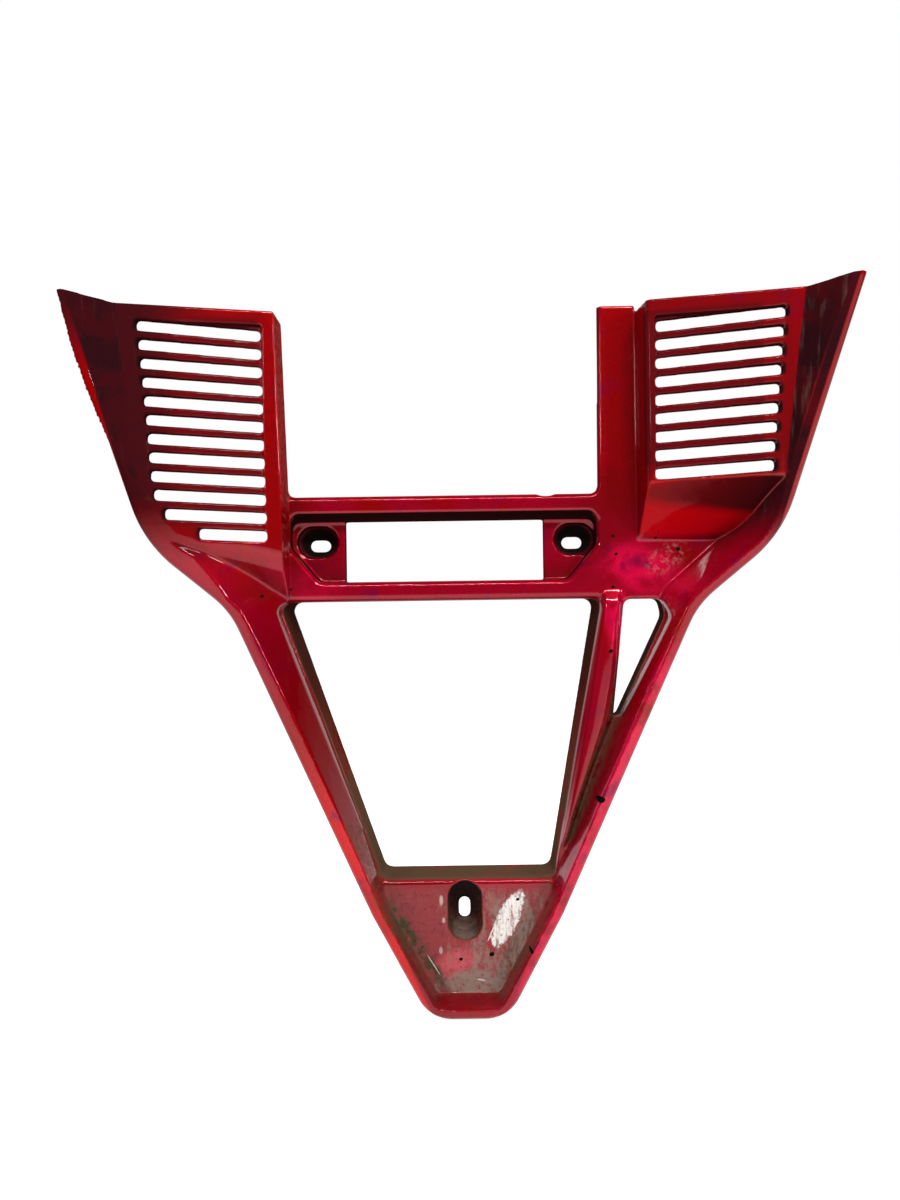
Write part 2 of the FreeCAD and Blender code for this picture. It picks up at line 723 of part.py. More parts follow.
# A nick worn into the upper crossbar's top edge
nick_x = size("nick_x", 55.3)
nick_top = size("nick_top", 9.5)
nick_floor = size("nick_floor", 4.4)
nick_deep = size("nick_deep", 1.2)
nick = facing_block("nick", none, base_ahead + wall,
                    [(nick_x - nick_top / 2, gap_low_z + wall), (nick_x - nick_top / 2, gap_low_z),
                     (nick_x - nick_floor / 2, gap_low_z - nick_deep),
                     (nick_x + nick_floor / 2, gap_low_z - nick_deep),
                     (nick_x + nick_top / 2, gap_low_z), (nick_x + nick_top / 2, gap_low_z + wall)])
wing_rise = size("wing_rise", 1.6)
wing_rise_half = size("wing_rise_half", 177.0)
top_clear = facing_block("top_clear", -clear_y, clear_y,
                         [(far_left, left_top_z + wing_rise), (centre_x - tip_half, left_top_z + wing_rise),
                          (centre_x - wing_rise_half, left_top_z), (none, left_top_z), (none, strip_top_z),
                          (right_inner_x, strip_top_z), (right_inner_x, right_top_z),
                          (centre_x + wing_rise_half, right_top_z),
                          (centre_x + tip_half, right_top_z + wing_rise),
                          (far_right, right_top_z + wing_rise),
                          (far_right, high_z + spare), (far_left, high_z + spare)])

# Louvres: a thicker field behind each panel, set back towards its inner end, with a row of tilted slots
field_depth = size("field_depth", 6.0)
field_set = size("field_set", 3.0)
field_edge = size("field_edge", 3.5)
flush = size("flush", 0.01)
left_louvre_pitch = size("left_louvre_pitch", 9.66)
right_louvre_pitch = size("right_louvre_pitch", 9.79)
louvre_high = size("louvre_high", 5.6)
louvre_tilt = size("louvre_tilt", 0.036)
louvre_nip = size("louvre_nip", 1.2)
left_louvre_z = size("left_louvre_z", 109.8)
left_louvre_in_x = size("left_louvre_in_x", -97.0)
left_louvre_in_step = size("left_louvre_in_step", 0.24)
left_louvre_out_x = size("left_louvre_out_x", -158.0)
left_louvre_out_step = size("left_louvre_out_step", 0.78)
right_louvre_z = size("right_louvre_z", 112.0)
right_louvre_in_x = size("right_louvre_in_x", 112.8)
right_louvre_in_step = size("right_louvre_in_step", -0.2)
right_louvre_out_x = size("right_louvre_out_x", 176.5)
right_louvre_out_step = size("right_louvre_out_step", -0.79)
left_short_outs = [size("left_tenth_out_x", -150.3), size("left_eleventh_out_x", -145.6),
                   size("left_twelfth_out_x", -129.0)]
left_louvre_count = 12
right_louvre_count = 9


def louvre(name, side, in_x, out_x, in_z):
    """One louvre slot cut straight through, rising towards its outer end, its corners nipped off."""
    rise = louvre_tilt * (out_x - in_x) * side
    low_in = in_z - louvre_high / 2
    high_in = low_in + louvre_high
    low_out = low_in + rise
    high_out = high_in + rise
    nip = louvre_nip * side
    corners = [(in_x, low_in + louvre_nip), (in_x + nip, low_in), (out_x - nip, low_out),
               (out_x, low_out + louvre_nip), (out_x, high_out - louvre_nip), (out_x - nip, high_out),
               (in_x + nip, high_in), (in_x, high_in - louvre_nip)]
    return facing_block(name, none, base_ahead + reach, corners)


louvres = []
for n in range(left_louvre_count):
    in_x = left_louvre_in_x + left_louvre_in_step * n
    out_x = left_louvre_out_x + left_louvre_out_step * n
    if n >= left_louvre_count - len(left_short_outs):
        out_x = left_short_outs[n - left_louvre_count]
    in_z = left_louvre_z - left_louvre_pitch * n
    louvres.append(louvre("left_louvre_%d" % (n + 1), -1, in_x, out_x, in_z))
for n in range(right_louvre_count):
    in_x = right_louvre_in_x + right_louvre_in_step * n
    out_x = right_louvre_out_x + right_louvre_out_step * n
    in_z = right_louvre_z - right_louvre_pitch * n
    louvres.append(louvre("right_louvre_%d" % (n + 1), 1, in_x, out_x, in_z))


def field(name, side, in_x, out_x, low, high, near, far_in, far_out):
    """A slab following a panel between two depths behind its face."""
    corners = [(in_x, panel_y(side, in_x, near)), (out_x, panel_y(side, out_x, near)),
               (out_x, panel_y(side, out_x, far_out)), (in_x, panel_y(side, in_x, far_in))]
    if side > 0:
        corners.reverse()
    return upright_block(name, low, high, corners)


left_last_z = left_louvre_z - left_louvre_pitch * (left_louvre_count - 1)
right_last_z = right_louvre_z - right_louvre_pitch * (right_louvre_count - 1)
left_field_low = left_last_z - louvre_high / 2 - field_edge
left_field_high = left_louvre_z + louvre_high / 2 + field_edge
right_field_low = right_last_z - louvre_high / 2 - field_edge
right_field_high = right_louvre_z + louvre_high / 2 + field_edge
left_field = field("left_field", -1, left_louvre_in_x + field_edge * 1.4, left_louvre_out_x - field_edge,
                   left_field_low, left_field_high + field_edge, wall * 0.5, field_depth, field_depth)
right_field = field("right_field", 1, right_louvre_in_x - field_edge * 1.4, right_louvre_out_x + field_edge,
                    right_field_low, right_field_high + field_edge, wall * 0.5, field_depth, field_depth)
left_set = field("left_set", -1, left_louvre_in_x + louvre_nip, left_louvre_out_x,
                 left_field_low + field_edge, left_field_high - field_edge * 0.4, -wall, field_set, flush)
right_set = field("right_set", 1, right_louvre_in_x - louvre_nip, right_louvre_out_x,
                  right_field_low + field_edge, right_field_high - field_edge * 0.4, -wall, field_set, flush)

# Put the solid together: tray and rim, raised blocks, everything behind the base, then every opening
tray = cut("tray", tray_outer, front_clear)
tray_with_rim = cut("tray_with_rim", fuse("tray_and_rim", [tray, rim]), tray_hollow)
left_raise = common("left_raise", [left_front, tray])
right_raise = common("right_raise", [right_front, tray])
raised = fuse("raised", [tray_with_rim, left_raise, right_raise, recess_shell, window_shell, leg_shell,
                         low_cup_shell, rib] + cup_shells)
left_pocket = common("left_pocket", [left_back, inside_rim])
right_pocket = common("right_pocket", [right_back, inside_rim])
hollowed = cut("hollowed", raised, fuse("pockets", [left_pocket, right_pocket]))
left_slats = common("left_slats", [left_field, left_front, tray])
right_slats = common("right_slats", [right_field, right_front, tray])
backed = fuse("backed", [hollowed, left_slats, right_slats, left_tab_lip, right_tab_lip])
openings = fuse("openings", [top_clear, gap, gap_mouth, nick, window_hollow, window_mouth,
                             leg_window, recess_hollow, recess_mouth, tab_window, low_cup_hollow, low_slot,
                             left_set, right_set] + cup_hollows + louvres)
v_panel = cut("v_panel", backed, openings)
v_panel.Label = "v_panel"
doc.recompute()

# Stop if anything failed, then write the part
for thing in doc.Objects:
    if "Invalid" in thing.State or "Error" in thing.State:
        raise RuntimeError("%s: %s" % (thing.Name, thing.getStatusString()))
shape = v_panel.Shape
if shape.isNull() or not shape.isValid() or len(shape.Solids) != 1:
    raise RuntimeError("the panel is not one sound solid: %d" % len(shape.Solids))
os.makedirs("parts", exist_ok=True)
shape.exportStep("parts/v_panel.step")
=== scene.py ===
import math

import bpy
from mathutils import Euler, Matrix, Vector


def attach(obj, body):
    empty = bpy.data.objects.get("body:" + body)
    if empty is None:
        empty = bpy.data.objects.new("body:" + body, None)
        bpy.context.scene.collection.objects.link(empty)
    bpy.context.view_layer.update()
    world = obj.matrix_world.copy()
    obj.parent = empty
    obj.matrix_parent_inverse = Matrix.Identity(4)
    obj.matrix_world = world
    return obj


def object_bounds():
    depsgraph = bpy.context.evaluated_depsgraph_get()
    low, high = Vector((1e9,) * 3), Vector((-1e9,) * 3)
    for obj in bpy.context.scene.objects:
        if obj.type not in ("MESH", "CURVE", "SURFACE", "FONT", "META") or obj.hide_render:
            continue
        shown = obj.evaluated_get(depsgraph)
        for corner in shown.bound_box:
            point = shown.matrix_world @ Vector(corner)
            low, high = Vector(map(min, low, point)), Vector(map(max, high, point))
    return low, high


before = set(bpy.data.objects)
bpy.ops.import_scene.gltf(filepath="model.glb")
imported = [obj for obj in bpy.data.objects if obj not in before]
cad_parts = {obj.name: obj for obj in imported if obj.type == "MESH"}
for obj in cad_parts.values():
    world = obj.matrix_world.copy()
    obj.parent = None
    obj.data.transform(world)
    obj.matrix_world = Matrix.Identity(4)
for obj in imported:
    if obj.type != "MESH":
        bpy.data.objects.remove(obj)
cad_low, cad_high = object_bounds()
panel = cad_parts["v_panel"]
scene = bpy.context.scene
scene.view_settings.view_transform = "Standard"

MM = 0.001


# Node helpers
class Nodes:
    """Short ways to add nodes to one material or world tree."""

    def __init__(self, tree):
        self.tree = tree
        tree.nodes.clear()

    def add(self, kind, **settings):
        node = self.tree.nodes.new(kind)
        for name, value in settings.items():
            setattr(node, name, value)
        return node

    def put(self, socket, value):
        if isinstance(value, bpy.types.NodeSocket):
            self.tree.links.new(value, socket)
        else:
            socket.default_value = value

    def math(self, operation, first, second):
        node = self.add("ShaderNodeMath", operation=operation)
        self.put(node.inputs[0], first)
        self.put(node.inputs[1], second)
        return node.outputs[0]

    def both(self, *masks):
        """The masks multiplied together."""
        result = masks[0]
        for mask in masks[1:]:
            result = self.math("MULTIPLY", result, mask)
        return result

    def either(self, *masks):
        """The strongest of the masks."""
        result = masks[0]
        for mask in masks[1:]:
            result = self.math("MAXIMUM", result, mask)
        return result

    def without(self, mask, other):
        """The first mask where the other one is weak."""
        return self.both(mask, self.math("SUBTRACT", 1.0, other))

    def ramp(self, value, low, high):
        """0 at low and before it, 1 at high and past it, smooth between; low may be the larger one."""
        node = self.add("ShaderNodeMapRange", interpolation_type="SMOOTHSTEP", clamp=True)
        self.put(node.inputs["Value"], value)
        reverse = low > high
        node.inputs["From Min"].default_value = high if reverse else low
        node.inputs["From Max"].default_value = low if reverse else high
        node.inputs["To Min"].default_value = 1.0 if reverse else 0.0
        node.inputs["To Max"].default_value = 0.0 if reverse else 1.0
        return node.outputs["Result"]

    def noise(self, where, size, detail=4.0, rough=0.55, warp=0.0):
        """Soft noise whose features are about the given size, in the units of where."""
        node = self.add("ShaderNodeTexNoise")
        self.put(node.inputs["Vector"], where)
        node.inputs["Scale"].default_value = 1.0 / size
        node.inputs["Detail"].default_value = detail
        node.inputs["Roughness"].default_value = rough
        node.inputs["Distortion"].default_value = warp
        return node.outputs["Fac"]

    def stretched(self, where, turn, factors):
        """Coordinates scaled along the axes, then turned about Y by degrees. Noise over them has streaks
        along the axis that is scaled least."""
        node = self.add("ShaderNodeMapping")
        self.put(node.inputs["Vector"], where)
        node.inputs["Rotation"].default_value = (0.0, math.radians(turn), 0.0)
        node.inputs["Scale"].default_value = factors
        return node.outputs["Vector"]

    def mix(self, share, first, second):
        node = self.add("ShaderNodeMix", data_type="RGBA")
        self.put(node.inputs["Factor"], share)
        self.put(node.inputs[6], first)
        self.put(node.inputs[7], second)
        return node.outputs[2]

    def mix_value(self, share, first, second):
        node = self.add("ShaderNodeMix", data_type="FLOAT")
        self.put(node.inputs["Factor"], share)
        self.put(node.inputs[2], first)
        self.put(node.inputs[3], second)
        return node.outputs[0]


class Place:
    """Where a point of the panel lies, in millimetres, which way it faces and how hidden it is."""

    def __init__(self, n):
        self.n = n
        scale = n.add("ShaderNodeVectorMath", operation="SCALE")
        n.put(scale.inputs[0], n.add("ShaderNodeTexCoord").outputs["Object"])
        scale.inputs["Scale"].default_value = 1.0 / MM
        self.where = scale.outputs[0]
        split = n.add("ShaderNodeSeparateXYZ")
        n.put(split.inputs[0], self.where)
        self.x, self.y, self.z = split.outputs
        facing = n.add("ShaderNodeSeparateXYZ")
        n.put(facing.inputs[0], n.add("ShaderNodeNewGeometry").outputs["Normal"])
        self.right, self.back, self.up = facing.outputs
        hidden = n.add("ShaderNodeAmbientOcclusion", samples=4, only_local=True)
        hidden.inputs["Distance"].default_value = 16.0 * MM
        self.open = hidden.outputs["AO"]

    def from_left(self, out, slope):
        """How far the point is to the right of a straight edge that is this far out on the left."""
        n = self.n
        return n.math("ADD", self.x, n.math("ADD", out, n.both(self.z, slope)))

    def from_right(self, out, slope):
        """How far the point is to the left of a straight edge that is this far out on the right."""
        n = self.n
        return n.math("SUBTRACT", n.math("ADD", out, n.both(self.z, slope)), self.x)

    def faces(self, x, z):
        """1 where the surface faces towards a point of the front view, 0 where it faces away from it."""
        n = self.n
        across = n.both(self.right, n.math("SUBTRACT", x, self.x))
        upright = n.both(self.up, n.math("SUBTRACT", z, self.z))
        return n.ramp(n.math("ADD", across, upright), -4.0, 8.0)

    def blob(self, x, z, half_x, half_z, turn=0.0, edge=0.35):
        """A spot of the front view, 1 in its middle and 0 outside; turned anticlockwise by degrees."""
        n = self.n
        across = n.math("SUBTRACT", self.x, x)
        up = n.math("SUBTRACT", self.z, z)
        cosine = math.cos(math.radians(turn))
        sine = math.sin(math.radians(turn))
        along = n.math("ADD", n.math("MULTIPLY", across, cosine), n.math("MULTIPLY", up, sine))
        aside = n.math("SUBTRACT", n.math("MULTIPLY", up, cosine), n.math("MULTIPLY", across, sine))
        first = n.math("POWER", n.math("DIVIDE", along, half_x), 2.0)
        second = n.math("POWER", n.math("DIVIDE", aside, half_z), 2.0)
        return n.ramp(n.math("ADD", first, second), 1.0, edge)

    def box(self, left, right, low, high, soft=4.0):
        """A region of the front view with soft sides."""
        n = self.n
        across = n.both(n.ramp(self.x, left - soft, left + soft), n.ramp(self.x, right + soft, right - soft))
        upright = n.both(n.ramp(self.z, low - soft, low + soft), n.ramp(self.z, high + soft, high - soft))
        return n.both(across, upright)

    def scratch(self, x, z, length, turn, width):
        """A straight scratch of the front view, tapering at both ends."""
        return self.blob(x, z, length / 2.0, width / 2.0, turn, 0.5)


# Colours, as linear values. The painted light red, highlight pink and shade maroon are painted light and
# shade; the deep red, shadow black and pale glare colours are partly painted shade or glare.
RED = (0.235, 0.0005, 0.0013, 1.0)
PAINTED_LIGHT_RED = (0.50, 0.001, 0.003, 1.0)
CRIMSON = (0.25, 0.0005, 0.010, 1.0)
PAINTED_HIGHLIGHT_PINK = (0.56, 0.002, 0.040, 1.0)
VIOLET = (0.13, 0.001, 0.030, 1.0)
DEEP_RED_AND_SHADE = (0.15, 0.0006, 0.003, 1.0)
SHADE_MAROON = (0.020, 0.0035, 0.005, 1.0)
SHADOW_AND_CHIP_BLACK = (0.006, 0.004, 0.0035, 1.0)
BROWN_DIRT = (0.075, 0.050, 0.027, 1.0)
ROSE_DUST = (0.24, 0.035, 0.038, 1.0)
PINK_DUST = (0.52, 0.09, 0.11, 1.0)
GREY_DUST = (0.23, 0.165, 0.135, 1.0)
PALE_WEAR_AND_GLARE = (0.74, 0.71, 0.67, 1.0)
BARE_PLASTIC = (0.030, 0.026, 0.026, 1.0)
RED_PLASTIC = (0.11, 0.008, 0.010, 1.0)

# Main places of the front view, in millimetres
BASE_Y = -16.0
WINDOW_TOP = -31.0
WINDOW_MIDDLE = (5.0, -95.0)
LOW_CUP = (7.6, -202.6)
UPPER_CUPS = ((-71.8, 1.8), (71.8, 1.8))
GLARE_STREAK = (31.0, -207.0)
GLARE_STREAK_TURN = 62.0

# Chips in the paint: x, z and half their width
CHIPS = (
    (80.5, -138.5, 2.4), (91.8, 2.6, 1.3), (93.4, -7.4, 1.1), (91.4, -25.4, 1.2), (115.0, 1.2, 1.0),
    (89.0, -60.5, 1.5), (-99.5, -28.0, 1.2), (-85.5, -24.5, 1.0), (43.0, -220.0, 1.3), (36.6, -196.5, 1.2),
    (22.0, -226.5, 1.8), (5.0, -229.0, 1.3), (127.5, -5.0, 1.5))

# Straight outer edges of the front view: how far out they are where z is 0, and how far more per unit of z
LEFT_WING_EDGE = (162.1, 0.23)
RIGHT_WING_EDGE = (175.6, 0.263)
LEFT_LEG_EDGE = (130.7, 0.4414)
RIGHT_LEG_EDGE = (148.5, 0.44)

# Ramps that pick out faces: by depth for the louvre panels and the bottom plate, by lean for the wings
RAISED_Y = (-28.0, -34.0)
PLATE_Y = (-26.0, -20.0)
LEFT_WING_LEAN = (0.16, 0.42)
RIGHT_WING_LEAN = (-0.22, -0.46)


def paint_tone_with_painted_light(n, p):
    """The clean paint: red on the wings and rims, crimson on bars and plates, with violet clouds, and over it
    painted light and highlights on rims and faces, and painted shade on sloping faces and corners.
    """
    clouds = n.noise(p.where, 60.0, 3.0, 0.5, 0.6)
    small_clouds = n.noise(p.where, 16.0, 4.0, 0.6, 0.3)
    panels = n.either(p.box(-200.0, -84.0, 0.0, 140.0, 8.0), p.box(84.0, 215.0, 16.0, 140.0, 10.0))
    crimson_share = n.without(n.ramp(clouds, 0.34, 0.50), panels)
    tone = n.mix(crimson_share, RED, CRIMSON)
    # Painted highlight: pink patches by the strut, below the right box and by the recess's lower left corner,
    # broken up by clouds.
    pink = n.either(p.blob(108.0, -16.0, 34.0, 17.0, -18.0, 0.0), p.blob(93.0, -42.0, 9.0, 26.0, 0.0, 0.0),
                    n.both(p.blob(-80.0, -22.0, 28.0, 12.0, -20.0, 0.0), 0.4))
    tone = n.mix(n.both(pink, n.ramp(small_clouds, 0.28, 0.55)), tone, PAINTED_HIGHLIGHT_PINK)
    from_left_edge = p.from_left(*LEFT_LEG_EDGE)
    # Painted light: the left leg's rim and the hip made a lighter red, as where light falls on them.
    leg_rim = n.both(n.ramp(from_left_edge, 8.6, 7.2), n.ramp(p.z, -90.0, -170.0),
                     n.ramp(p.x, 30.0, -10.0), 0.85)
    hip = p.blob(-118.0, -12.0, 26.0, 13.0, -25.0, 0.0)
    tone = n.mix(n.either(leg_rim, n.both(hip, 0.2)), tone, PAINTED_LIGHT_RED)
    # Painted highlight: a pink band along the right leg's rim.
    from_right_edge = p.from_right(*RIGHT_LEG_EDGE)
    right_rim = n.both(n.ramp(from_right_edge, 9.0, 6.5), n.ramp(p.z, -40.0, -75.0),
                       n.ramp(p.x, 10.0, 40.0))
    tone = n.mix(n.both(right_rim, n.ramp(small_clouds, 0.34, 0.56), 0.75), tone, PAINTED_HIGHLIGHT_PINK)
    # Painted shade: the left leg's sloping inner face darkened.
    leg_face = n.both(n.ramp(from_left_edge, 7.4, 9.4), n.ramp(p.z, -30.0, -60.0),
                      n.ramp(p.x, 20.0, -10.0), 0.62)
    violet_share = n.both(n.ramp(small_clouds, 0.55, 0.72), n.mix_value(panels, 0.75, 0.3))
    tone = n.mix(violet_share, tone, VIOLET)
    # Painted light: the face under the right louvre box made a lighter red, standing in for light it does not
    # get.
    underside = box_underside(n, p)
    tone = n.mix(n.both(underside, 0.75), tone, PAINTED_LIGHT_RED)
    deep_clouds = n.both(n.ramp(clouds, 0.54, 0.70), 0.65)
    # Painted shade: the rib's upward top end and the hollow corners found by occlusion darkened; the deep
    # clouds are random tone.
    rib_end = n.both(p.box(86.0, 102.0, -46.0, -20.0, 2.0), n.ramp(p.up, 0.2, 0.5), 0.8)
    corners = n.both(n.ramp(p.open, 0.97, 0.62), 0.7)
    deep_tone_and_painted_shade = n.without(n.either(deep_clouds, leg_face, rib_end, corners), underside)
    return n.mix(deep_tone_and_painted_shade, tone, DEEP_RED_AND_SHADE)


def box_underside(n, p):
    """The twisted face below the right louvre box."""
    return n.both(p.box(84.0, 166.0, 2.0, 32.0, 3.0), n.ramp(p.up, -0.18, -0.40),
                  n.ramp(p.y, BASE_Y, BASE_Y - 2.0))


def painted_shade_faces(n, p):
    """Painted shade in maroon, which also dulls these faces: the wings' inner faces, the slats and the sides
    of the slots, the left louvre panel, the right frame, the box's left side and the left panel's top edge.
    """
    raised = n.ramp(p.y, *RAISED_Y)
    left_wing = n.both(n.ramp(p.right, *LEFT_WING_LEAN), n.ramp(p.x, -112.0, -126.0),
                       n.ramp(p.z, -26.0, 14.0))
    from_right_edge = p.from_right(*RIGHT_WING_EDGE)
    inner_rim = n.both(n.ramp(from_right_edge, 3.2, 4.6), n.ramp(from_right_edge, 10.0, 8.0))
    right_face = n.both(n.ramp(p.right, *RIGHT_WING_LEAN), n.ramp(p.x, 124.0, 136.0),
                        n.ramp(p.up, -0.45, -0.25))
    right_wing = n.both(n.either(right_face, inner_rim), n.ramp(p.z, -10.0, 20.0))
    slot_sides = n.either(n.ramp(p.up, -0.40, -0.75), n.ramp(p.up, 0.55, 0.85))
    slots = n.both(slot_sides, n.ramp(p.z, -2.0, 4.0), raised)
    patches = n.noise(p.where, 22.0, 3.0, 0.55, 0.5)
    patchy = n.math("MINIMUM", n.math("ADD", 0.66, n.both(patches, 0.6)), 1.0)
    left_panel = n.both(n.ramp(p.x, -98.0, -158.0), n.ramp(p.z, -14.0, 26.0), raised, 0.92)
    left_slats = n.both(p.box(-162.0, -97.0, 8.0, 119.0, 2.5), raised, 0.62)
    right_slats = n.both(p.box(100.0, 166.0, 37.0, 121.0, 2.5), raised, 0.66)
    right_frame = n.both(p.box(92.0, 180.0, 32.0, 128.0, 3.0), raised, 0.40)
    box_side = n.both(n.ramp(p.right, -0.4, -0.7), p.box(84.0, 104.0, 0.0, 130.0, 4.0), 0.75)
    top_edge = n.both(n.ramp(p.z, 119.0, 128.0), n.ramp(p.x, -92.0, -130.0), 0.55)
    from_left_edge = p.from_left(*LEFT_WING_EDGE)
    left_rim = n.both(n.ramp(from_left_edge, 5.4, 3.8), n.ramp(p.z, 122.0, 80.0), 0.85)
    left_side = n.without(n.either(n.both(left_wing, patchy), left_panel), left_rim)
    return n.either(left_side, n.both(right_wing, patchy), n.both(slots, 0.9), left_slats, right_slats,
                    right_frame, box_side, top_edge)


def painted_shadow(n, p):
    """Painted shadow, near black: the screw cups, the recess walls, the upper bar's underside, the window's
    upper returns and other deep corners."""
    behind = n.ramp(p.y, BASE_Y + 1.5, BASE_Y + 4.0)
    recess_walls = n.both(behind, p.box(-92.0, 90.0, -24.0, 24.0, 3.0), n.ramp(p.back, -0.75, -0.45))
    masks = [n.both(recess_walls, 0.93)]
    deep = n.ramp(p.y, -5.2, -3.8)
    for x, z in UPPER_CUPS:
        masks.append(n.both(p.blob(x, z, 14.0, 11.5), deep))
    masks.append(n.both(p.blob(*LOW_CUP, 10.5, 17.5), n.ramp(p.y, -15.0, -11.0)))
    corners = n.both(n.ramp(p.open, 0.55, 0.15), 0.85)
    bar_under = n.both(n.ramp(p.up, -0.5, -0.8), p.box(-90.0, 88.0, 12.0, 32.0, 3.0), 0.96)
    high_returns = n.both(behind, n.ramp(p.z, -150.0, -60.0),
                          n.ramp(p.z, WINDOW_TOP + 4.0, WINDOW_TOP - 2.0), 0.85)
    return n.either(*masks, corners, bar_under, high_returns)


def brown_dirt(n, p):
    """Road dirt on the returns of the windows, in grooves and along creases of the lower half."""
    grain = n.noise(p.where, 5.0, 6.0, 0.65, 0.4)
    patches = n.noise(p.where, 26.0, 3.0, 0.5, 0.5)
    behind = n.both(n.ramp(p.y, BASE_Y + 0.2, BASE_Y + 3.0), n.ramp(p.z, WINDOW_TOP + 2.0, WINDOW_TOP - 6.0))
    uneven = n.ramp(n.math("ADD", patches, n.both(grain, 0.5)), 0.42, 0.70)
    more_below = n.mix_value(n.ramp(p.z, -70.0, -160.0), 0.22, 1.0)
    returns = n.both(behind, p.faces(*WINDOW_MIDDLE), uneven, more_below)
    creases = n.both(n.ramp(p.open, 0.86, 0.45), n.ramp(p.z, -10.0, -60.0), n.ramp(grain, 0.30, 0.58))
    left_groove = n.both(p.blob(-20.0, -220.0, 42.0, 5.0, -56.0, 0.0), n.ramp(grain, 0.34, 0.60), 1.6)
    right_groove = n.both(p.blob(35.0, -224.0, 28.0, 5.5, 61.0), n.ramp(grain, 0.30, 0.56))
    lip = n.both(p.box(-40.0, 58.0, -183.5, -176.0, 1.0), n.ramp(grain, 0.26, 0.50))
    wall = n.both(n.ramp(p.right, 0.35, 0.7), p.box(-90.0, 10.0, -246.0, -150.0, 8.0),
                  n.ramp(grain, 0.34, 0.62))
    dirt = n.either(n.both(returns, 0.92), n.both(creases, 0.75), left_groove, n.both(right_groove, 0.85),
                    n.both(lip, 0.9), n.both(wall, 0.6))
    return n.without(dirt, clean_band(n, p))


def clean_band(n, p):
    """The red band along the bottom plate's upper edge, and the one above its foot."""
    front = n.ramp(p.y, BASE_Y + 2.0, BASE_Y + 0.5)
    upper = n.both(p.box(-27.0, 37.0, -189.5, -184.5, 1.2), front, 0.9)
    return n.either(upper, n.both(p.box(-16.0, 34.0, -258.0, -248.0, 1.0), 0.8))


def rose_dust(n, p):
    """A thin pinkish film over the bottom plate and the lower returns."""
    smear = n.noise(p.where, 9.0, 5.0, 0.65, 0.8)
    plate = n.both(p.box(-40.0, 56.0, -246.5, -190.0, 2.0), n.ramp(p.y, -30.0, -22.0))
    returns = n.both(n.ramp(p.y, BASE_Y, BASE_Y + 3.0), n.ramp(p.z, -110.0, -160.0), 0.6)
    return n.both(n.either(plate, returns), n.ramp(smear, 0.26, 0.48), 0.9)


def grey_dust(n, p):
    """Dry dust: thick on the bottom plate, streaked on the right wing, thin elsewhere."""
    grain = n.noise(p.where, 2.2, 5.0, 0.7)
    streaks = n.noise(n.stretched(p.where, 28.0, (0.30, 0.30, 0.035)), 1.0, 5.0, 0.6, 0.3)
    plate_streaks = n.noise(n.stretched(p.where, -8.0, (0.22, 0.22, 0.05)), 1.0, 5.0, 0.65, 0.5)
    plate = n.both(p.box(-34.0, 50.0, -250.0, -192.0, 4.0), n.ramp(p.y, *PLATE_Y), n.ramp(p.back, -0.5, -0.9))
    less_on_left = n.mix_value(n.ramp(p.x, -4.0, 26.0), 0.16, 0.0)
    plate_dust = n.math("SUBTRACT", n.math("ADD", plate_streaks, n.both(grain, 0.35)), less_on_left)
    plate_dust = n.both(plate, n.ramp(plate_dust, 0.56, 0.84), 0.8)
    foot = n.both(p.blob(13.0, -242.0, 20.0, 9.0), n.ramp(grain, 0.30, 0.52), plate, 0.9)
    right_wing = n.both(n.ramp(p.right, *RIGHT_WING_LEAN), n.ramp(p.x, 126.0, 150.0), n.ramp(p.z, 0.0, 25.0))
    wing_dust = n.both(right_wing, n.ramp(streaks, 0.52, 0.76), 0.16)
    left_wing = n.both(n.ramp(p.right, *LEFT_WING_LEAN), n.ramp(p.x, -120.0, -140.0), n.ramp(p.z, 0.0, 25.0))
    left_dust = n.both(left_wing, n.ramp(streaks, 0.58, 0.80), 0.08)
    patch = n.both(p.blob(121.0, -10.0, 16.0, 9.0, 30.0, 0.0), n.ramp(grain, 0.46, 0.64), 0.45)
    thin = n.both(n.ramp(n.noise(p.where, 7.0, 6.0, 0.7, 0.3), 0.62, 0.80), 0.05)
    cup_lip = n.both(p.blob(LOW_CUP[0], LOW_CUP[1] - 13.0, 7.5, 5.0), n.ramp(p.y, -15.0, -10.0), 0.6)
    side_wall = n.both(n.ramp(p.right, 0.55, 0.85), p.box(-96.0, -82.0, 20.0, 130.0, 3.0),
                       n.ramp(grain, 0.40, 0.62), 0.25)
    return n.either(plate_dust, foot, wing_dust, left_dust, patch, thin, cup_lip, side_wall)


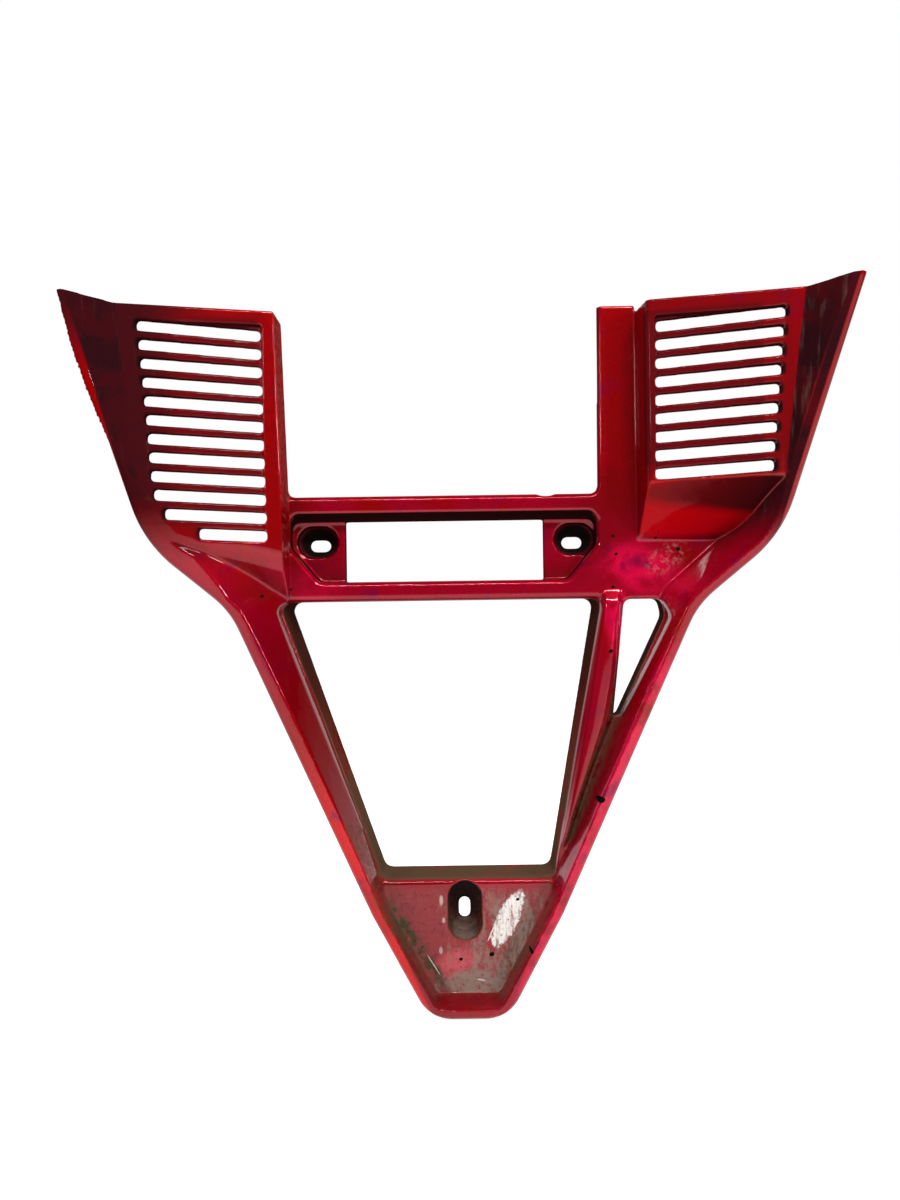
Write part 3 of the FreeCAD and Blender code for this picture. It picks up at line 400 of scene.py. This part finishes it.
def pale_wear_and_painted_glare(n, p):
    """A pale film on the bottom plate: a streak that is a painted glare, and a few drops and scratches of
    rubbed paint.
    """
    grain = n.noise(p.where, 1.8, 5.0, 0.7)
    edge_noise = n.noise(p.where, 6.0, 5.0, 0.65, 0.8)
    # Painted highlight: a pale glare streak across the plate's right half.
    streak = p.blob(*GLARE_STREAK, 23.0, 8.0, GLARE_STREAK_TURN, 0.0)
    streak = n.ramp(n.math("ADD", streak, n.both(n.math("SUBTRACT", edge_noise, 0.5), 1.9)), 0.36, 0.62)
    glare_breakup = n.noise(n.stretched(p.where, 28.0, (0.9, 0.9, 0.10)), 1.0, 4.0, 0.6)
    streak = n.both(streak, p.blob(*GLARE_STREAK, 26.0, 10.0, GLARE_STREAK_TURN), n.ramp(grain, 0.30, 0.46),
                    n.ramp(glare_breakup, 0.26, 0.56))
    front = n.ramp(p.y, -19.0, -17.0)
    drops = n.either(p.blob(-5.4, -196.5, 1.2, 3.4), p.blob(-4.2, -207.5, 1.0, 1.8),
                     p.blob(-6.0, -224.0, 1.2, 2.4))
    lines = n.either(p.scratch(22.0, -214.5, 12.0, 66.0, 0.9), p.scratch(-10.0, -232.0, 15.0, -58.0, 0.6),
                     p.scratch(16.0, -240.5, 5.0, -10.0, 0.8))
    return n.either(n.both(streak, front), n.both(drops, front, 0.35), n.both(lines, front, 0.75))


def dark_marks(n, p):
    """Small dark chips and specks in the paint, and dark grain on the bottom plate."""
    fine = n.noise(p.where, 2.6, 2.0, 0.5)
    specks = n.both(n.ramp(fine, 0.735, 0.77), n.ramp(n.noise(p.where, 45.0, 2.0), 0.42, 0.58))
    chips = n.either(*[p.blob(x, z, half, half * 0.8, 25.0, 0.4) for x, z, half in CHIPS])
    ragged = n.ramp(n.math("ADD", chips, n.both(n.math("SUBTRACT", fine, 0.5), 0.9)), 0.42, 0.58)
    near_chip = n.ramp(chips, 0.0, 0.05)
    plate = n.both(p.box(-34.0, 50.0, -250.0, -190.0, 4.0), n.ramp(p.y, *PLATE_Y))
    plate_grain = n.both(plate, n.ramp(n.noise(p.where, 2.6, 6.0, 0.8, 0.6), 0.52, 0.66), 0.62)
    return n.either(n.both(specks, 0.85), n.both(ragged, near_chip), plate_grain)


def worn_red_paint():
    """Candy red paint over moulded plastic, dulled, dusty and chipped, with painted light, shade and glare in
    its colour.
    """
    material = bpy.data.materials.new("worn_red_paint")
    material.use_nodes = True
    n = Nodes(material.node_tree)
    p = Place(n)
    out = n.add("ShaderNodeOutputMaterial")
    shader = n.add("ShaderNodeBsdfPrincipled")
    n.put(out.inputs["Surface"], shader.outputs["BSDF"])

    painted_shade_share = painted_shade_faces(n, p)
    painted_shadow_share = painted_shadow(n, p)
    brown_share = brown_dirt(n, p)
    dust_share = grey_dust(n, p)
    rose_share = rose_dust(n, p)
    pink_share = n.both(p.blob(3.0, -231.0, 15.0, 10.0, 20.0, 0.0),
                        n.noise(p.where, 6.0, 4.0, 0.65, 0.6), 1.4)
    pale_wear_and_glare_share = pale_wear_and_painted_glare(n, p)
    mark_share = dark_marks(n, p)
    behind = n.both(n.ramp(p.y, BASE_Y + 2.0, BASE_Y + 5.0), n.ramp(p.z, WINDOW_TOP + 2.0, WINDOW_TOP - 4.0))
    back_share = n.either(n.ramp(p.back, 0.25, 0.6), n.without(behind, p.faces(*WINDOW_MIDDLE)))
    side_wall = n.both(n.ramp(p.right, 0.45, 0.75), p.box(-96.0, -80.0, 20.0, 135.0, 3.0))
    overspray = n.ramp(n.noise(p.where, 70.0, 4.0, 0.5, 0.3), 0.36, 0.70)
    from_left_edge = p.from_left(*LEFT_WING_EDGE)
    left_edge = n.both(n.ramp(from_left_edge, 6.5, 4.0), n.ramp(p.z, 10.0, 30.0))

    # Painted shade: maroon over the wings, slats and louvre panels.
    colour = n.mix(painted_shade_share, paint_tone_with_painted_light(n, p), SHADE_MAROON)
    # Painted shadow: near black in the cups, the recesses, under the upper bar and in deep corners.
    colour = n.mix(painted_shadow_share, colour, SHADOW_AND_CHIP_BLACK)
    colour = n.mix(rose_share, colour, ROSE_DUST)
    colour = n.mix(n.both(pink_share, rose_share), colour, PINK_DUST)
    colour = n.mix(brown_share, colour, BROWN_DIRT)
    colour = n.mix(dust_share, colour, GREY_DUST)
    # Painted highlight: the pale glare streak on the bottom plate; the drops and scratches are wear.
    colour = n.mix(pale_wear_and_glare_share, colour, PALE_WEAR_AND_GLARE)
    colour = n.mix(mark_share, colour, SHADOW_AND_CHIP_BLACK)
    back_dust = n.both(n.ramp(n.noise(p.where, 9.0, 6.0, 0.7), 0.46, 0.74), 0.18)
    back_tone = n.mix(back_dust, n.mix(overspray, BARE_PLASTIC, RED_PLASTIC), GREY_DUST)
    colour = n.mix(back_share, colour, back_tone)
    n.put(shader.inputs["Base Color"], colour)

    dirt = n.either(brown_share, dust_share, n.both(rose_share, 0.7), n.both(pale_wear_and_glare_share, 0.6), mark_share)
    dull_faces = n.either(n.both(painted_shadow_share, 1.3), n.both(painted_shade_share, 1.25), n.both(back_share, 0.9),
                          n.both(box_underside(n, p), 0.8), behind, side_wall, left_edge)
    dull = n.either(dirt, dull_faces)
    film = n.noise(p.where, 12.0, 5.0, 0.65, 0.5)
    clean_rough = n.mix_value(film, 0.20, 0.34)
    n.put(shader.inputs["Roughness"], n.mix_value(dull, clean_rough, 0.75))
    n.put(shader.inputs["Metallic"], n.mix_value(dull, 0.30, 0.0))
    n.put(shader.inputs["Coat Weight"], n.mix_value(dull, 0.55, 0.0))
    shader.inputs["Coat Roughness"].default_value = 0.05
    shader.inputs["Specular IOR Level"].default_value = 0.0

    ripple = n.noise(p.where, 5.5, 2.0, 0.5)
    grit = n.noise(p.where, 0.9, 4.0, 0.65)
    gritty = n.mix_value(n.ramp(p.z, -150.0, -195.0), 0.015, 0.16)
    height = n.math("ADD", n.both(ripple, 0.05), n.both(grit, gritty))
    bump = n.add("ShaderNodeBump")
    bump.inputs["Strength"].default_value = 0.55
    bump.inputs["Distance"].default_value = 0.6 * MM
    n.put(bump.inputs["Height"], height)
    n.put(shader.inputs["Normal"], bump.outputs["Normal"])
    return material


paint = worn_red_paint()
panel.data.materials.clear()
panel.data.materials.append(paint)

# Moulded edges: an even fine mesh over the solid, softened so that every edge is rounded, then made lighter
MERGE_DISTANCE = 0.02 * MM
FINE_MESH_SIZE = 0.6 * MM
SOFTEN_STEPS = 16
KEPT_SHARE = 0.15
weld = panel.modifiers.new("weld", "WELD")
weld.merge_threshold = MERGE_DISTANCE
fine_mesh = panel.modifiers.new("fine_mesh", "REMESH")
fine_mesh.mode = "VOXEL"
fine_mesh.voxel_size = FINE_MESH_SIZE
fine_mesh.use_smooth_shade = True
soften = panel.modifiers.new("soften", "SMOOTH")
soften.factor = 0.5
soften.iterations = SOFTEN_STEPS
lighter = panel.modifiers.new("lighter", "DECIMATE")
lighter.ratio = KEPT_SHARE
tidy = panel.modifiers.new("tidy", "WELD")
tidy.merge_threshold = MERGE_DISTANCE


# Strip along the left leg that closes the seam between its sloping face and the window's return
def seam_strip():
    back_y = -13.4
    thick = 2.3
    upper_x = -92.0
    lower_x = -48.1
    # Inner x, outer x, front y and z of each ring of four corners, from the top down
    rings = ((-88.4, -96.5, -18.2, -30.0), (upper_x, upper_x - thick, -21.4, -37.0),
             (lower_x, lower_x - thick, -17.4, -156.0))
    points = []
    for inner_x, outer_x, front_y, z in rings:
        for x, y in ((inner_x, front_y), (inner_x, back_y), (outer_x, back_y), (outer_x, front_y)):
            points.append((x * MM, y * MM, z * MM))
    faces = [(3, 2, 1, 0), (8, 9, 10, 11)]
    for start in (0, 4):
        for side in range(4):
            first = start + side
            second = start + (side + 1) % 4
            faces.append((first, second, second + 4, first + 4))
    mesh = bpy.data.meshes.new("seam_strip")
    mesh.from_pydata(points, [], faces)
    mesh.materials.append(paint)
    strip = bpy.data.objects.new("seam_strip", mesh)
    scene.collection.objects.link(strip)
    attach(strip, "root")


seam_strip()


# Pale floor: white to the camera, with the panel's shadow kept
def pale_floor():
    material = bpy.data.materials.new("pale_floor")
    material.use_nodes = True
    n = Nodes(material.node_tree)
    out = n.add("ShaderNodeOutputMaterial")
    path = n.add("ShaderNodeLightPath")
    matt = n.add("ShaderNodeBsdfDiffuse")
    matt.inputs["Color"].default_value = (0.8, 0.8, 0.8, 1.0)
    glow = n.add("ShaderNodeEmission")
    glow.inputs["Strength"].default_value = 0.8
    lifted = n.add("ShaderNodeAddShader")
    n.put(lifted.inputs[0], matt.outputs[0])
    n.put(lifted.inputs[1], glow.outputs[0])
    seen = n.either(path.outputs["Is Camera Ray"], path.outputs["Is Glossy Ray"],
                    path.outputs["Is Transmission Ray"])
    blend = n.add("ShaderNodeMixShader")
    n.put(blend.inputs[0], seen)
    n.put(blend.inputs[1], matt.outputs[0])
    n.put(blend.inputs[2], lifted.outputs[0])
    n.put(out.inputs["Surface"], blend.outputs[0])
    return material


floor_half = 3.0
floor_z = cad_low.z - 0.5 * MM
floor_mesh = bpy.data.meshes.new("floor")
floor_mesh.from_pydata(
    [(-floor_half, -floor_half, floor_z), (floor_half, -floor_half, floor_z),
     (floor_half, floor_half, floor_z), (-floor_half, floor_half, floor_z)], [], [(0, 1, 2, 3)])
floor = bpy.data.objects.new("floor", floor_mesh)
scene.collection.objects.link(floor)
floor_mesh.materials.append(pale_floor())


# Surroundings: a white backdrop behind the panel and a dim room in front of it
def surroundings():
    world = bpy.data.worlds.new("studio")
    scene.world = world
    world.use_nodes = True
    n = Nodes(world.node_tree)
    out = n.add("ShaderNodeOutputWorld")
    sky = n.add("ShaderNodeBackground")
    sky.inputs["Color"].default_value = (1.0, 1.0, 1.0, 1.0)
    path = n.add("ShaderNodeLightPath")
    split = n.add("ShaderNodeSeparateXYZ")
    n.put(split.inputs[0], n.add("ShaderNodeTexCoord").outputs["Generated"])
    backdrop = n.ramp(split.outputs["Y"], 0.15, 0.85)
    reflected = n.mix_value(backdrop, 0.07, 1.0)
    gathered = n.mix_value(backdrop, 0.35, 0.6)
    mirrored = n.either(path.outputs["Is Glossy Ray"], path.outputs["Is Transmission Ray"])
    strength = n.mix_value(mirrored, gathered, reflected)
    n.put(sky.inputs["Strength"], n.mix_value(path.outputs["Is Camera Ray"], strength, 1.0))
    n.put(out.inputs["Surface"], sky.outputs[0])


surroundings()


# Soft studio lamps
def lamp(name, place, aim, width, height, power):
    light = bpy.data.lights.new(name, "AREA")
    light.shape = "RECTANGLE"
    light.size = width
    light.size_y = height
    light.energy = power
    holder = bpy.data.objects.new(name, light)
    holder.location = place
    holder.rotation_euler = (Vector(aim) - Vector(place)).to_track_quat("-Z", "Y").to_euler()
    scene.collection.objects.link(holder)


middle = (0.0, -0.03, -0.06)
lamp("key", (0.40, -0.85, 0.85), middle, 0.30, 0.20, 8.0)
lamp("top_strip", (0.0, -0.75, 0.75), middle, 0.60, 0.025, 5.5)
lamp("right_strip", (0.8, -0.8, 0.35), middle, 0.03, 0.25, 3.5)
lamp("left_strip", (-0.8, -0.8, 0.35), middle, 0.03, 0.25, 3.0)

# Camera in front of the panel, turned a little about its own axis
CAMERA_PLACE = (0.0017, -0.566, -0.0314)
CAMERA_ROLL = -0.8
LEVEL = 90.0
camera_data = bpy.data.cameras.new("camera")
camera_data.lens = 30.0
camera_data.sensor_width = 36.0
camera = bpy.data.objects.new("camera", camera_data)
camera.location = CAMERA_PLACE
level = Euler((math.radians(LEVEL), 0.0, 0.0)).to_matrix()
roll = Matrix.Rotation(math.radians(CAMERA_ROLL), 3, "Z")
camera.rotation_euler = (level @ roll).to_euler()
scene.collection.objects.link(camera)
scene.camera = camera
